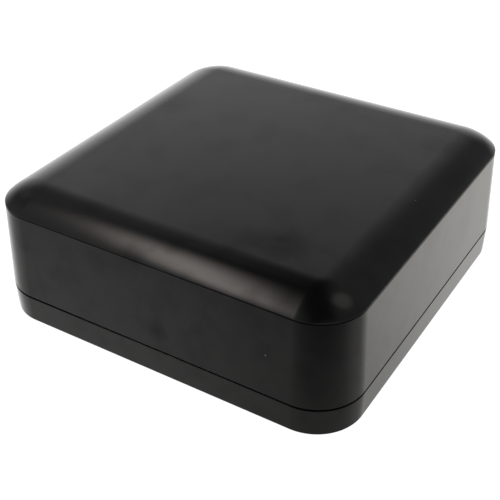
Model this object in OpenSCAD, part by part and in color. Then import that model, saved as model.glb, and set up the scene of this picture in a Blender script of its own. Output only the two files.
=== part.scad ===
// Mesh Wi-Fi node: a square desktop radio unit with a shallow domed top and its ports at the rear.
// Millimetres, +Z up. The origin is the middle of the plane that the feet stand on.
// The front faces -Y and the ports face +Y.

/* [Case] */
// Overall width and depth, measured at the shadow gap, where the case is widest
case_w = 140; // [139:0.5:144]
// Overall height, feet included
case_h = 50.6; // [49:0.1:54]
// Height of the crease between the side walls and the top cover
crease_z = 44.5; // [43.5:0.1:45]
// Height of the upright rim of the top cover, just above the crease
rim_h = 0.25; // [0.2:0.05:0.5]
// Height of the middle of the shadow gap between the side shell and the base
gap_z = 11.5; // [11.4:0.05:11.7]
// Width of the shadow gap
gap_w = 0.7; // [0.4:0.1:0.8]
// Radius of the vertical corners at the crease
corner_r = 16.5; // [16.5:0.5:18]
// How far the side walls lean outward, from the crease down to the shadow gap
wall_flare = 1; // [0.5:0.1:1.2]
// How far the base leans inward, from the shadow gap down to its lower edge
base_taper = 0.4; // [0.2:0.1:0.8]
// Width of the curved border of the top cover
top_border = 15.3; // [14.5:0.1:15.8]
// Wall thickness of the case mouldings
wall_t = 2.2; // [2:0.1:2.4]
// Height of the fine shadow line under the rim of the top cover
line_h = 0.2; // [0.1:0.05:0.3]
// Depth of that shadow line
line_d = 0.6; // [0.4:0.1:0.8]

/* [Feet and screws] */
// Height of the feet below the base
foot_h = 1; // [0.9:0.1:1.4]
// Radius of a foot
foot_r = 6; // [5:0.5:6.5]
// Distance of a foot's axis from the case's middle, in X and in Y
foot_at = 50; // [49:0.5:50.5]
// Distance of a corner screw's axis from the case's middle, in X and in Y
post_at = 57.5; // [57:0.5:58]
// Radius of a corner screw's thread
case_screw_r = 1.45; // [1.2:0.05:1.5]

/* [Board] */
// Height of the circuit board's upper face
board_z = 15; // [14.9:0.1:15.1]
// Thickness of the circuit board
board_t = 1.6; // [1.2:0.2:1.6]
// Half the width of the circuit board, and the distance of its front edge from the middle
board_half = 60; // [59:0.5:60.5]
// Distance of the board's rear edge from the middle
board_rear = 64.5; // [63:0.5:65]
// Height of the shield cans above the board
can_h = 3; // [2.8:0.1:3.2]
// Size of the heat sink: width, depth and height
sink_size = [100, 46, 14]; // [10:1:100]

/* [Ports] */
// Height of the middle of the ports
port_z = 21.75; // [21.5:0.05:22]
// Width of the recess in the rear wall that shows the ports
well_w = 88; // [86:1:90]
// Height of that recess
well_h = 16; // [15.5:0.1:16.4]
// Distance of the port panel's outer face from the case's middle
panel_y = 67.1; // [66.9:0.05:67.15]
// Thickness of the port panel
panel_t = 1.8; // [1.5:0.1:2]
// Place of the first network jack, along X
wan_x = 14; // [13.5:0.5:15]
// Place of the second network jack, along X
lan_x = -5; // [-6:0.5:-4.5]
// Place of the power inlet, along X
power_x = 34; // [33:0.5:35]
// Place of the pairing button, along X
pair_x = -22; // [-22.5:0.5:-21]
// Place of the reset hole, along X
reset_x = -31; // [-31.5:0.5:-30.5]
// Place of the status light, along X
light_x = -38.5; // [-39:0.5:-38]
// Outer size of a network jack: width, depth and height
jack_size = [16, 21, 13.5]; // [10:0.5:22]
// Radius of the pairing button
pair_r = 2.7; // [2.4:0.1:2.8]
// Radius of the power inlet's socket
socket_r = 3.15; // [3:0.05:3.2]
// Radius of the power inlet's centre pin
pin_r = 1; // [0.8:0.05:1.25]

/* [Antennas] */
// Height of the antenna carrier's lower face
carrier_z = 31.5; // [31:0.5:32]
// Half the outer width of the antenna carrier
carrier_half = 63; // [62.5:0.5:63]
// Size of an antenna board: length, thickness and height
antenna_size = [34, 0.8, 10.5]; // [0.6:0.1:36]
// Distance of an antenna lead from the middle of its side
lead_at = 44; // [43:0.5:45]
// Radius of an antenna lead
lead_r = 0.55; // [0.4:0.05:0.6]

/* [Hidden] */
$fn = 64;

// Case outline: the corners' centres lie corner_at from the middle, at every height.
crease_half = case_w / 2 - wall_flare;
corner_at = crease_half - corner_r;
seam_r = corner_r + wall_flare;
shell_low = gap_z + gap_w / 2;
base_top = gap_z - gap_w / 2;
base_low = foot_h;
floor_t = 2;
floor_z = base_low + floor_t;

// The border of the top cover is one arc, level where it meets the flat top.
border_drop = case_h - crease_z - rim_h;
border_r = (top_border * top_border + border_drop * border_drop) / (2 * border_drop);
border_x = corner_r - top_border;
border_z = case_h - border_r;

// Spigot and snap hooks of the top cover
spigot_gap = 0.15;
spigot_t = 1.5;
spigot_h = 4;
spigot_out = corner_r - wall_t - spigot_gap;
hook_w = 9;
hook_at = 30;
hook_low = crease_z - 7;
hook_reach = 0.8;
hook_h = 1.5;
cover_rib_h = 1.5;
pocket_slack = 0.3;
pocket_h = 2;
rib_t = 1.2;

// Tongue of the base, which closes the shadow gap from behind
tongue_gap = 0.3;
tongue_t = 1.5;
tongue_h = 3.7;
tongue_out = seam_r - wall_t - tongue_gap;
tongue_in = tongue_out - tongue_t;
tongue_step = 1.2;
base_chamfer = 0.2;

// Corner posts and their screws
post_top = shell_low + 0.15;
boss_r = 3.5;
base_post_r = 4.4;
seat_z = 7;
head_bore_r = 3.1;
head_r = 2.8;
head_h = 2;
case_screw_len = 14;
thread_slack = 0.05;
pilot_depth = 8;

// Vents, label and feet of the base
vent_size = [2.4, 20];
vent_pitch = 5;
vents = 19;
vent_y = 33;
label_size = [64, 36, 0.2];
label_r = 2;
label_slack = 0.3;
label_sink = 0.3;
foot_sink = 0.8;
foot_slack = 0.2;
foot_edge = 0.6;

// Board fixings
board_low = board_z - board_t;
board_screw_at = [55, 28];
standoff_r = 3.2;
board_screw_r = 1.1;
board_screw_len = 6.4;
board_head_r = 2.4;
board_head_h = 1.6;
board_hole_r = 1.6;
board_notch = 9;
board_tab = 90;

// Shield cans, pads and heat sink
sheet_t = 0.2;
can_at = [33, -6];
processor_can = [34, 34];
radio_can = [26, 34];
lid_top = board_z + can_h + sheet_t;
sink_pad_t = 1;
sink_z = lid_top + sink_pad_t;
sink_plate_t = 3;
fin_t = 1.2;
fin_pitch = 5;
sink_pin_at = [46.5, 20];
sink_pin_r = 1.4;
barb_h = 1.8;
barb_reach = 0.5;
pin_head_h = 1.2;
spring_h = 4.8;
spring_coil_r = 2.4;
spring_wire_r = 0.3;
spring_turns = 4;

// Chips under the cans; their places are distances from the middle of the can
chip_up = 4;
substrate_size = [17, 17, 0.6];
processor_size = [16, 16, 0.8];
chip_t = substrate_size[2] + processor_size[2];
pad_half = 7.5;
memory_size = [9, 12, 1];
memory_at = [8, -10.5];
radio_chip_up = 5;
radio_size = [12, 12, 1];
radio_pad_w = 11;
amplifier_size = [3, 3, 0.8];
amplifier_pitch = 5.5;
amplifier_down = 9;
processor_sink_pad = [20, 20, sink_pad_t];
radio_sink_pad = [15, 15, sink_pad_t];

// Parts on the open board
flash_size = [8, 6, 1];
flash_at = [-22, 30];
ethernet_size = [9, 9, 1];
ethernet_at = [4, 26];
transformer_size = [13, 8, 5.5];
transformer_y = 38.5;
capacitor_seat = [8.4, 8.4, 1];
capacitor_r = 4;
capacitor_h = 10.5;
capacitor_at = [30, 42];
capacitor_pitch = 9.5;
inductor_w = 7;
inductor_h = 4;
inductor_at = [29, 28];
inductor_pitch = 9;
crystal_size = [3.2, 2.5, 0.9];
crystal_x = [-34, 14];
crystal_y = 27;
passive_size = [0.8, 1.6, 0.6];
setup_radio_at = [-22, -46];
setup_board_size = [15, 20, 0.8];
setup_can_size = [13, 14, 1.6];
setup_can_up = 2;

// Rear ports
well_r = 3;
well_z = port_z + 0.65;
panel_low = 13;
panel_h = 18.8;
panel_w = 94;
panel_in = panel_y - panel_t;
jack_front = panel_y - 0.3;
port_slack = 0.2;
rail_t = 2;
rail_lip = 1.6;
rail_depth = 1.8;

// Network jacks
jack_wall = 0.3;
bay_w = 11.9;
bay_low = board_z + 4.2;
bay_h = 7;
bay_depth = 14.5;
latch_w = 6.4;
latch_h = 2.6;
contact_wire = 0.45;
contact_len = 8;
contact_pitch = 1.02;
contact_tilt = 15;
contact_back = 3;

// Power inlet
power_half_w = 4.5;
power_rear = 52.6;
nose_r = 3.95;
socket_depth = 10;
pin_root_r = 1.4;
pin_root_len = 0.6;
tag_t = 0.4;

// Pairing button, reset hole and their switches
pair_slack = 0.25;
pair_proud = 0.6;
pair_flange = 0.9;
flange_gap = 0.05;
pair_stem_r = 1.5;
reset_hole_r = 0.8;
switch_rear = 56.2;
switch_front = 60.2;
switch_half = 3.1;
switch_foot = 2.6;
plunger_r = 1.2;
plunger_slack = 0.1;
plunger_root = 2.7;
plunger_tip = 61.5;

// Status light
light_y = 58;
pipe_half = 1.1;
pipe_r = 0.95;
pipe_gap = 1.2;
light_hole_r = 1.15;
led_size = [3, 1.6, 0.9];

// Antennas
antenna_in = 60.6;
antenna_slot = 1.5;
antenna_mid = 30;
carrier_t = 2;
carrier_corner_r = 9;
carrier_band = 9.5;
guide_size = [3.4, 3, 9];
carrier_screw_len = 8;
carrier_head_h = 1.8;
lead_bend = 3;
lead_top = carrier_z + 6;
plug_z = board_z + 1;
plug_in = 50;
plug_r = 1.35;
plug_h = 1.6;
socket_seat = [2.6, 2.6, 0.3];

plastic_black = [0.07, 0.07, 0.075];
panel_black = [0.1, 0.1, 0.105];
rubber_black = [0.12, 0.12, 0.12];
label_grey = [0.3, 0.3, 0.31];
steel = [0.62, 0.63, 0.65];
tin = [0.74, 0.75, 0.76];
aluminium = [0.78, 0.79, 0.8];
board_green = [0.05, 0.25, 0.14];
chip_black = [0.13, 0.13, 0.14];
gold = [0.83, 0.66, 0.28];
pad_blue = [0.45, 0.6, 0.75];
nylon_white = [0.88, 0.88, 0.85];
clear = [0.85, 0.9, 0.92, 0.5];
lead_grey = [0.35, 0.36, 0.38];

// ---------- Shared shapes ----------

// A box between two values in each direction
module block(x, y, z)
    translate([x[0], y[0], z[0]])
        cube([x[1] - x[0], y[1] - y[0], z[1] - z[0]]);

// A box that is centred on a point in X and Y and stands on a height
module slab(at, z, size)
    translate([at[0] - size[0] / 2, at[1] - size[1] / 2, z])
        cube(size);

module rounded_rect(size, r) {
    square([size[0], size[1] - 2 * r], center = true);
    square([size[0] - 2 * r, size[1]], center = true);
    for (x = [-1, 1], y = [-1, 1])
        translate([x * (size[0] / 2 - r), y * (size[1] / 2 - r)])
            circle(r);
}

// Carries a profile round the case. Its x runs outward from the corners' centres, its y is height.
module around_case()
    for (side = [0:3])
        rotate(90 * side) {
            translate([corner_at, corner_at, 0])
                rotate([90, 0, 0])
                    linear_extrude(2 * corner_at)
                        children();
            translate([corner_at, corner_at, 0])
                rotate_extrude(angle = 90, $fn = 128)
                    children();
        }

// Copies at the four mirrored corners of a rectangle
module at_corners(at)
    for (x = [-1, 1], y = [-1, 1])
        translate([x * at[0], y * at[1], 0])
            children();

// A round bar that runs along Y between two values
module bar_y(at, r, y)
    translate([at[0], y[1], at[1]])
        rotate([90, 0, 0])
            cylinder(r = r, h = y[1] - y[0]);

// A screw that points up, with its head's underside at height z
module screw_up(z, shank_r, length, big_r, big_h) {
    cross = 0.35 * big_r;
    translate([0, 0, z])
        cylinder(r = shank_r, h = length);
    difference() {
        translate([0, 0, z - big_h])
            cylinder(r = big_r, h = big_h);
        for (turn = [0, 90])
            rotate(turn)
                slab([0, 0], z - big_h - 1, [4 * cross, cross, 1 + big_h / 2]);
    }
}

// A screw that points down, with its head's underside at height z
module screw_down(z, shank_r, length, big_r, big_h)
    translate([0, 0, 2 * z])
        mirror([0, 0, 1])
            screw_up(z, shank_r, length, big_r, big_h);

// A closed wire coil with a level pitch
module coil_spring(z, height, coil_r, wire_r, turns) {
    steps = 14;
    sides = 6;
    rings = turns * steps;
    rise = height - 2 * wire_r;
    points = [for (i = [0:rings], s = [0:sides - 1])
        let (turn = 360 * i / steps, tilt = 360 * s / sides, reach = coil_r + wire_r * cos(tilt))
        [reach * cos(turn), reach * sin(turn), z + wire_r + rise * i / rings + wire_r * sin(tilt)]];
    skin = [for (i = [0:rings - 1], s = [0:sides - 1])
        let (n = (s + 1) % sides)
        [i * sides + s, (i + 1) * sides + s, (i + 1) * sides + n, i * sides + n]];
    ends = [[for (s = [0:sides - 1]) s], [for (s = [sides - 1:-1:0]) rings * sides + s]];
    polyhedron(points, concat(skin, ends), convexity = 6);
}

// ---------- Case ----------

// Everything below the cover's arc of radius r, from the corner's centre outward
module border_region(r) {
    intersection() {
        translate([border_x, border_z])
            circle(r, $fn = 256);
        translate([border_x, crease_z])
            square([top_border, case_h - crease_z]);
    }
    translate([0, crease_z])
        square([border_x, border_z + r - crease_z]);
}

module cover_profile() {
    difference() {
        border_region(border_r);
        border_region(border_r - wall_t);
    }
    translate([spigot_out - spigot_t, crease_z - spigot_h])
        square([spigot_t, spigot_h + wall_t / 4]);
}

// One snap hook, in place on the +X side
module cover_hook() {
    low = hook_low - crease_z;
    outer = corner_at + spigot_out;
    translate([0, hook_w / 2, crease_z])
        rotate([90, 0, 0])
            linear_extrude(hook_w)
                polygon([[outer - spigot_t, 0], [outer - spigot_t, low], [outer, low],
                         [outer + hook_reach, low + hook_reach], [outer + hook_reach, low + hook_h],
                         [outer, low + hook_h], [outer, 0]]);
}

module top_cover()
    color(plastic_black) {
        around_case()
            cover_profile();
        slab([0, 0], case_h - wall_t, [2 * corner_at, 2 * corner_at, wall_t]);
        for (side = [0:3], s = [-1, 1])
            rotate(90 * side)
                translate([0, s * hook_at, 0])
                    cover_hook();
        for (turn = [0, 90], s = [-1, 1])
            rotate(turn)
                slab([0, s * hook_at / 2], case_h - wall_t - cover_rib_h,
                     [2 * corner_at, rib_t, cover_rib_h + 0.1]);
    }

module shell_profile()
    polygon([[seam_r, shell_low], [corner_r, crease_z - line_h], [corner_r - line_d, crease_z - line_h],
             [corner_r - line_d, crease_z], [corner_r - wall_t, crease_z],
             [seam_r - wall_t, shell_low]]);

// A corner boss, tied to the wall by a rib, that takes a screw from each end
module corner_boss() {
    reach = corner_r - wall_t / 2 - sqrt(2) * (post_at - corner_at);
    translate([0, 0, post_top])
        cylinder(r = boss_r, h = carrier_z - post_top);
    rotate(45)
        block([boss_r - 1, reach], [-rib_t / 2, rib_t / 2], [base_top + tongue_h + 0.3, carrier_z - 1]);
}

// Rails that the port panel slides into from below
module panel_rails() {
    side = panel_w / 2 + port_slack;
    wall_in = corner_at + corner_r - wall_t / 2;
    for (s = [0, 1])
        mirror([s, 0, 0]) {
            block([side, side + rail_t], [panel_in - rail_depth, wall_in],
                  [panel_low, panel_low + panel_h]);
            block([side - rail_lip, side + 0.1], [panel_in - rail_depth, panel_in - port_slack],
                  [panel_low, panel_low + panel_h]);
        }
}

module side_shell()
    color(plastic_black)
        difference() {
            union() {
                around_case()
                    shell_profile();
                for (x = [0, 1], y = [0, 1])
                    mirror([x, 0, 0])
                        mirror([0, y, 0])
                            translate([post_at, post_at, 0])
                                corner_boss();
                panel_rails();
            }
            at_corners([post_at, post_at])
                translate([0, 0, post_top - 1])
                    cylinder(r = case_screw_r + thread_slack, h = carrier_z - post_top + 2);
            translate([0, case_w / 2 + 1, well_z])
                rotate([90, 0, 0])
                    linear_extrude(5)
                        rounded_rect([well_w, well_h], well_r);
            for (side = [0:3], s = [-1, 1])
                rotate(90 * side)
                    block([corner_at + spigot_out - 1, corner_at + spigot_out + hook_reach + pocket_slack],
                          [s * hook_at - hook_w / 2 - 1, s * hook_at + hook_w / 2 + 1],
                          [hook_low - pocket_slack / 2, hook_low + pocket_h]);
        }

module base_profile()
    polygon([[0, base_low], [seam_r - base_taper - base_chamfer, base_low],
             [seam_r - base_taper, base_low + base_chamfer], [seam_r, base_top],
             [tongue_out, base_top], [tongue_out, base_top + tongue_h],
             [tongue_in, base_top + tongue_h], [tongue_in, base_top - tongue_step / 2],
             [tongue_in + tongue_step, base_top - 1.5 * tongue_step],
             [tongue_in + tongue_step, floor_z], [0, floor_z]]);

module base_pan()
    color(plastic_black)
        difference() {
            union() {
                around_case()
                    base_profile();
                slab([0, 0], base_low, [2 * corner_at, 2 * corner_at, floor_t]);
                at_corners([post_at, post_at])
                    translate([0, 0, base_low])
                        cylinder(r = base_post_r, h = post_top - base_low);
                at_corners(board_screw_at)
                    translate([0, 0, base_low])
                        cylinder(r = standoff_r, h = board_low - base_low);
            }
            at_corners([post_at, post_at]) {
                translate([0, 0, base_low - 1])
                    cylinder(r = head_bore_r, h = seat_z - base_low + 1);
                cylinder(r = case_screw_r + 0.25, h = post_top + 1);
            }
            at_corners(board_screw_at)
                translate([0, 0, board_low - pilot_depth])
                    cylinder(r = board_screw_r + thread_slack, h = pilot_depth + 1);
            at_corners([foot_at, foot_at])
                translate([0, 0, base_low - 1])
                    cylinder(r = foot_r + foot_slack, h = foot_sink + 1);
            slab([0, 0], base_low - 1, [label_size[0] + 2 * label_slack,
                                        label_size[1] + 2 * label_slack, label_sink + 1]);
            for (i = [0:vents - 1], s = [-1, 1])
                translate([(i - (vents - 1) / 2) * vent_pitch, s * vent_y, 0])
                    linear_extrude(2 * floor_z)
                        rounded_rect(vent_size, vent_size[0] / 2 - 0.01);
            notch = panel_w / 2 + rail_t + 0.5;
            block([-notch, notch], [board_half, case_w], [panel_low - port_slack, board_z + 1]);
        }

// A foot with a soft lower edge, glued into its recess
module rubber_feet()
    color(rubber_black)
        at_corners([foot_at, foot_at])
            rotate_extrude($fn = 96) {
                translate([0, foot_edge])
                    square([foot_r, foot_h + foot_sink - foot_edge]);
                square([foot_r - foot_edge, foot_edge]);
                intersection() {
                    translate([foot_r - foot_edge, foot_edge])
                        circle(foot_edge);
                    translate([foot_r - foot_edge, 0])
                        square(foot_edge);
                }
            }

module label_plate()
    color(label_grey)
        translate([0, 0, base_low + label_sink - label_size[2]])
            linear_extrude(label_size[2])
                rounded_rect([label_size[0], label_size[1]], label_r);

module case_screws()
    color(steel)
        at_corners([post_at, post_at])
            screw_up(seat_z, case_screw_r, case_screw_len, head_r, head_h);

// ---------- Circuit board ----------

// A square board with notched corners and a tab at the rear that carries the jacks
module main_board()
    color(board_green)
        difference() {
            union() {
                slab([0, 0], board_low, [2 * board_half, 2 * board_half, board_t]);
                block([-board_tab / 2, board_tab / 2], [0, board_rear], [board_low, board_z]);
            }
            for (x = [-1, 1], y = [-1, 1])
                slab([x * board_half, y * board_half], board_low - 1,
                     [2 * board_notch, 2 * board_notch, board_t + 2]);
            at_corners(board_screw_at)
                cylinder(r = board_hole_r, h = 2 * board_z);
            translate([0, can_at[1], 0])
                at_corners(sink_pin_at)
                    cylinder(r = sink_pin_r + 0.2, h = 2 * board_z);
        }

module board_screws()
    color(steel)
        at_corners(board_screw_at)
            screw_down(board_z, board_screw_r, board_screw_len, board_head_r, board_head_h);

module processor()
    color(chip_black)
        translate([0, can_at[1], 0]) {
            slab([0, chip_up], board_z, substrate_size);
            slab([0, chip_up], board_z + substrate_size[2], processor_size);
        }

module processor_pad()
    color(pad_blue)
        slab([0, can_at[1] + chip_up], board_z + chip_t, [2 * pad_half, 2 * pad_half, can_h - chip_t]);

module memory_chips()
    color(chip_black)
        for (s = [-1, 1])
            slab([s * memory_at[0], can_at[1] + memory_at[1]], board_z, memory_size);

module flash_chip()
    color(chip_black)
        slab(flash_at, board_z, flash_size);

module radio_chips()
    color(chip_black)
        for (s = [-1, 1])
            slab([s * can_at[0], can_at[1] + radio_chip_up], board_z, radio_size);

module radio_pads()
    color(pad_blue)
        for (s = [-1, 1])
            slab([s * can_at[0], can_at[1] + radio_chip_up], board_z + radio_size[2],
                 [radio_pad_w, radio_pad_w, can_h - radio_size[2]]);

// Four small amplifier chips in each radio can
module front_end_chips()
    color(chip_black)
        for (s = [-1, 1], i = [0:3])
            slab([s * can_at[0] + (i - 1.5) * amplifier_pitch, can_at[1] - amplifier_down],
                 board_z, amplifier_size);

// A fence of thin sheet with an inward flange round its top
module shield_frame(at, size) {
    flange = 1.5;
    difference() {
        slab(at, board_z, [size[0], size[1], can_h - sheet_t]);
        slab(at, board_z - 1, [size[0] - 2 * sheet_t, size[1] - 2 * sheet_t, can_h - 2 * sheet_t + 1]);
        slab(at, board_z - 1, [size[0] - 2 * flange, size[1] - 2 * flange, can_h + 2]);
    }
}

// A lid of thin sheet whose skirt grips the fence from outside
module shield_lid(at, size) {
    slack = 0.1;
    outer = 2 * sheet_t + slack;
    skirt = 1.5;
    difference() {
        slab(at, lid_top - sheet_t - skirt, [size[0] + outer, size[1] + outer, skirt + sheet_t]);
        slab(at, lid_top - sheet_t - skirt - 1, [size[0] + slack, size[1] + slack, skirt + 1]);
    }
}

module processor_shield_frame()
    color(tin)
        shield_frame([0, can_at[1]], processor_can);

module processor_shield_lid()
    color(tin)
        shield_lid([0, can_at[1]], processor_can);

module radio_shield_frames()
    color(tin)
        for (s = [-1, 1])
            shield_frame([s * can_at[0], can_at[1]], radio_can);

module radio_shield_lids()
    color(tin)
        for (s = [-1, 1])
            shield_lid([s * can_at[0], can_at[1]], radio_can);

module sink_pads()
    color(pad_blue) {
        slab([0, can_at[1] + chip_up], lid_top, processor_sink_pad);
        for (s = [-1, 1])
            slab([s * can_at[0], can_at[1] + radio_chip_up], lid_top, radio_sink_pad);
    }

module heat_sink()
    color(aluminium) {
        fins = floor((sink_size[0] - fin_t) / fin_pitch);
        difference() {
            union() {
                slab([0, can_at[1]], sink_z, [sink_size[0], sink_size[1], sink_plate_t]);
                for (i = [0:fins])
                    slab([(i - fins / 2) * fin_pitch, can_at[1]], sink_z,
                         [fin_t, sink_size[1], sink_size[2]]);
            }
            translate([0, can_at[1], 0])
                at_corners(sink_pin_at) {
                    cylinder(r = sink_pin_r + 0.3, h = case_h);
                    translate([0, 0, sink_z + sink_plate_t])
                        cylinder(r = spring_coil_r + 1.6, h = sink_size[2]);
                }
        }
    }

// Push pins: a head above the spring, a shaft through the heat sink and a barb under the board
module sink_push_pins()
    color(nylon_white)
        translate([0, can_at[1], 0])
            at_corners(sink_pin_at) {
                translate([0, 0, board_low])
                    cylinder(r = sink_pin_r, h = sink_z + sink_plate_t + spring_h - board_low);
                translate([0, 0, board_low - barb_h])
                    cylinder(r1 = sink_pin_r / 2, r2 = sink_pin_r + barb_reach, h = barb_h);
                translate([0, 0, sink_z + sink_plate_t + spring_h])
                    cylinder(r = spring_coil_r + 0.5, h = pin_head_h);
            }

module sink_springs()
    color(steel)
        translate([0, can_at[1], 0])
            at_corners(sink_pin_at)
                coil_spring(sink_z + sink_plate_t, spring_h, spring_coil_r, spring_wire_r, spring_turns);

module ethernet_chip()
    color(chip_black)
        slab(ethernet_at, board_z, ethernet_size);

module ethernet_transformers()
    color(chip_black)
        for (x = [wan_x, lan_x])
            slab([x, transformer_y], board_z, transformer_size);

// Can capacitors on square seats, near the power inlet
module filter_capacitors()
    color(tin)
        for (i = [0:2])
            translate([capacitor_at[0] + capacitor_pitch * i, capacitor_at[1], board_z]) {
                slab([0, 0], 0, capacitor_seat);
                cylinder(r = capacitor_r, h = capacitor_h);
            }

module power_inductors()
    color(chip_black)
        for (i = [0:2])
            translate([inductor_at[0] + inductor_pitch * i, inductor_at[1], board_z])
                linear_extrude(inductor_h)
                    rounded_rect([inductor_w, inductor_w], inductor_w / 5);

// A small radio for setting the node up, on a board of its own under a soldered can
module setup_radio_board()
    color(board_green)
        slab(setup_radio_at, board_z, setup_board_size);

module setup_radio_can()
    color(tin)
        translate([setup_radio_at[0], setup_radio_at[1] + setup_can_up, board_z + setup_board_size[2]])
            difference() {
                slab([0, 0], 0, setup_can_size);
                slab([0, 0], -1, setup_can_size + [-2 * sheet_t, -2 * sheet_t, 1 - sheet_t]);
            }

// Rows of small resistors and ceramic capacitors round the larger parts
module chip_passives()
    color(nylon_white) {
        across = [passive_size[1], passive_size[0], passive_size[2]];
        beside_can = processor_can[0] / 2 + 2 * passive_size[0];
        for (s = [-1, 1], i = [0:7])
            slab([s * beside_can, can_at[1] + 4 * (i - 3.5)], board_z, passive_size);
        for (i = [0:11])
            slab([5 * (i - 5.5), -32], board_z, across);
        for (i = [0:5])
            slab([ethernet_at[0] + 4.4 * (i - 2.5), 20], board_z, across);
    }

module crystals()
    color(tin)
        for (x = crystal_x)
            translate([x, crystal_y, board_z])
                linear_extrude(crystal_size[2])
                    rounded_rect([crystal_size[0], crystal_size[1]], crystal_size[1] / 5);

// ---------- Ports ----------

// The opening that a network plug goes into, with the notch for its latch below
module plug_bay(x, y, slack) {
    half_bay = bay_w / 2 + slack;
    half_latch = latch_w / 2 + slack;
    block([x - half_bay, x + half_bay], y, [bay_low - slack, bay_low + bay_h + slack]);
    block([x - half_latch, x + half_latch], y, [bay_low - latch_h - slack, bay_low + 1]);
}

module jack_shield(x)
    color(tin)
        difference() {
            half = jack_size[0] / 2;
            block([x - half, x + half], [jack_front - jack_size[1], jack_front],
                  [board_z, board_z + jack_size[2]]);
            block([x - half + jack_wall, x + half - jack_wall],
                  [jack_front - jack_size[1] + jack_wall, jack_front - jack_wall],
                  [board_z - 1, board_z + jack_size[2] - jack_wall]);
            plug_bay(x, [jack_front - 1, jack_front + 1], 0.2);
        }

module jack_body(x)
    color(chip_black)
        difference() {
            half = jack_size[0] / 2 - jack_wall;
            block([x - half, x + half], [jack_front - jack_size[1] + jack_wall, jack_front - jack_wall],
                  [board_z, board_z + jack_size[2] - jack_wall]);
            plug_bay(x, [jack_front - bay_depth, jack_front + 1], 0);
        }

// Eight spring wires that slant back and down from the roof of the plug bay
module jack_contacts(x)
    color(gold)
        for (i = [0:7])
            translate([x + (i - 3.5) * contact_pitch, jack_front - contact_back,
                       bay_low + bay_h - contact_wire - 0.05])
                rotate([contact_tilt, 0, 0])
                    slab([0, -contact_len / 2], 0, [contact_wire, contact_len, contact_wire]);

module wan_jack_shield() jack_shield(wan_x);
module wan_jack_body() jack_body(wan_x);
module wan_jack_contacts() jack_contacts(wan_x);
module lan_jack_shield() jack_shield(lan_x);
module lan_jack_body() jack_body(lan_x);
module lan_jack_contacts() jack_contacts(lan_x);

module power_jack_housing()
    color(chip_black)
        difference() {
            union() {
                block([power_x - power_half_w, power_x + power_half_w], [power_rear, panel_in - port_slack],
                      [board_z, port_z + power_half_w]);
                bar_y([power_x, port_z], nose_r, [panel_in - 1, jack_front]);
            }
            bar_y([power_x, port_z], socket_r, [jack_front - socket_depth, panel_y + 1]);
            bar_y([power_x, port_z], pin_root_r, [power_rear - 1, panel_y]);
        }

// The centre pin, with a thicker root that the housing holds
module power_jack_pin()
    color(steel) {
        bar_y([power_x, port_z], pin_root_r, [power_rear - pin_root_len, jack_front - socket_depth]);
        bar_y([power_x, port_z], pin_r, [jack_front - socket_depth, jack_front - 0.8]);
    }

// Three solder tags behind and beside the housing
module power_jack_terminals()
    color(tin) {
        pin_end = power_rear - pin_root_len;
        block([power_x - 1.5, power_x + 1.5], [pin_end - tag_t, pin_end], [board_z, port_z + 1.5]);
        for (s = [-1, 1]) {
            side_x = power_x + s * (power_half_w + tag_t / 2);
            block([side_x - tag_t / 2, side_x + tag_t / 2], [power_rear + 4, power_rear + 6.5],
                  [board_z, board_z + 4]);
        }
    }

module port_panel()
    color(panel_black)
        difference() {
            block([-panel_w / 2, panel_w / 2], [panel_in, panel_y], [panel_low, panel_low + panel_h]);
            for (x = [wan_x, lan_x])
                block([x - jack_size[0] / 2 - port_slack, x + jack_size[0] / 2 + port_slack],
                      [panel_in - 1, panel_y + 1],
                      [board_z - port_slack, board_z + jack_size[2] + port_slack]);
            bar_y([power_x, port_z], nose_r + port_slack, [panel_in - 1, panel_y + 1]);
            bar_y([pair_x, port_z], pair_r + pair_slack, [panel_in - 1, panel_y + 1]);
            bar_y([reset_x, port_z], reset_hole_r, [panel_in - 1, panel_y + 1]);
            bar_y([light_x, port_z], light_hole_r, [panel_in - 1, panel_y + 1]);
        }

// ---------- Controls and status light ----------

module pair_button()
    color(panel_black) {
        bar_y([pair_x, port_z], pair_r, [panel_in - 1, panel_y + pair_proud]);
        bar_y([pair_x, port_z], pair_r + pair_flange, [panel_in - 1 - flange_gap, panel_in - flange_gap]);
        bar_y([pair_x, port_z], pair_stem_r, [plunger_tip, panel_in - 1]);
    }

module switch_body(x)
    color(chip_black)
        difference() {
            union() {
                block([x - switch_half, x + switch_half], [switch_rear, switch_front],
                      [port_z - switch_half, port_z + switch_half]);
                block([x - switch_foot, x + switch_foot], [switch_rear, switch_front - 1],
                      [board_z, port_z]);
            }
            bar_y([x, port_z], plunger_r + plunger_slack, [switch_rear + 2, switch_front + 1]);
        }

module switch_plunger(x)
    color(nylon_white)
        bar_y([x, port_z], plunger_r, [switch_rear + plunger_root, plunger_tip]);

module pair_switch_body() switch_body(pair_x);
module pair_switch_plunger() switch_plunger(pair_x);
module reset_switch_body() switch_body(reset_x);
module reset_switch_plunger() switch_plunger(reset_x);

// A clear elbow that carries the light from the board to the panel
module status_light_pipe()
    color(clear) {
        block([light_x - pipe_half, light_x + pipe_half], [light_y - pipe_half, light_y + pipe_half],
              [board_z + pipe_gap, port_z + 1]);
        bar_y([light_x, port_z], pipe_r, [light_y, panel_y + 0.2]);
    }

module status_led()
    color(nylon_white)
        slab([light_x, light_y], board_z, led_size);

// ---------- Antennas ----------

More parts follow.
